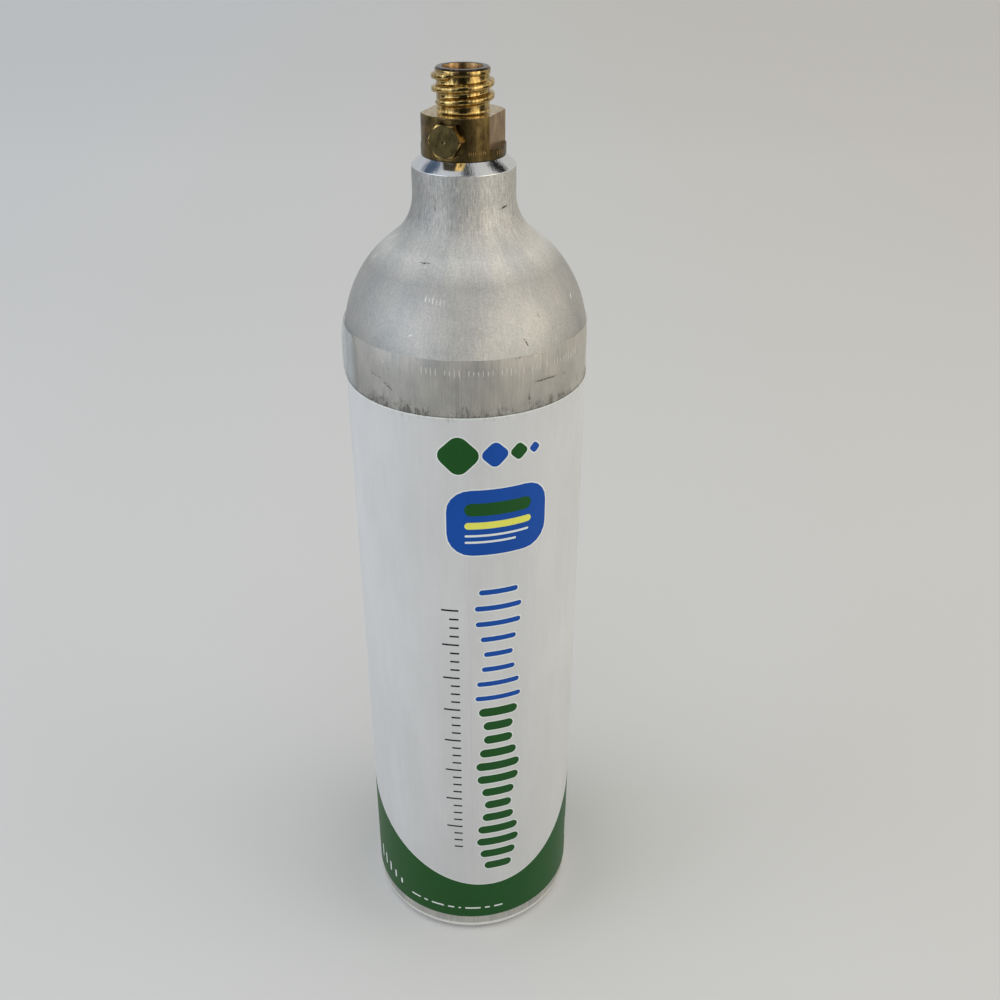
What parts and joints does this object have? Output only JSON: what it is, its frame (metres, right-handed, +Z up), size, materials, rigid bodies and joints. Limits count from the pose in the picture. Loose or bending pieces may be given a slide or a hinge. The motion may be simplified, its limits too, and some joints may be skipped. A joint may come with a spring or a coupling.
{
  "type": "soda carbonator cylinder",
  "caption": "Tall aluminium carbon dioxide cylinder with a domed shoulder, printed film sleeve and brass pin valve with a threaded outlet and burst disc plug.",
  "frame": {"origin": "centre of the foot, on the surface that it stands on", "axes": "+Z up along the cylinder axis, -Y towards the front of the printed sleeve"},
  "size_m": [0.088, 0.088, 0.362],
  "materials": {
    "shell": "satin, spun and lightly scuffed",
    "film": "printed film, clear at its upper margin",
    "brass": "turned, slightly tarnished",
    "steel": "bright stainless",
    "copper": "soft copper foil",
    "sinter": "porous sintered bronze",
    "seal_rubber": "matte",
    "nylon": "natural, satin"
  },
  "bodies": {
    "cylinder": {"cylinder_shell": "shell", "label_sleeve": "film", "valve_body": "brass", "neck_o_ring": "seal_rubber", "core_insert": "brass", "core_o_ring": "seal_rubber", "return_spring": "steel", "inlet_filter": "sinter", "tube_ferrule": "brass", "anti_siphon_tube": "nylon", "burst_disc_gasket": "nylon", "burst_disc": "copper", "burst_disc_plug": "brass"},
    "pin_assembly": {"valve_pin": "steel", "poppet": "brass", "poppet_seal": "nylon"}
  },
  "joints": [
    {"name": "pin_slide", "type": "slide", "parent": "cylinder", "child": "pin_assembly", "axis": [0, 0, 1], "range_m": [-0.0025, 0], "stiffness_N_per_m": 4000, "springref_m": 0.0015, "deforming": ["return_spring"]}
  ]
}
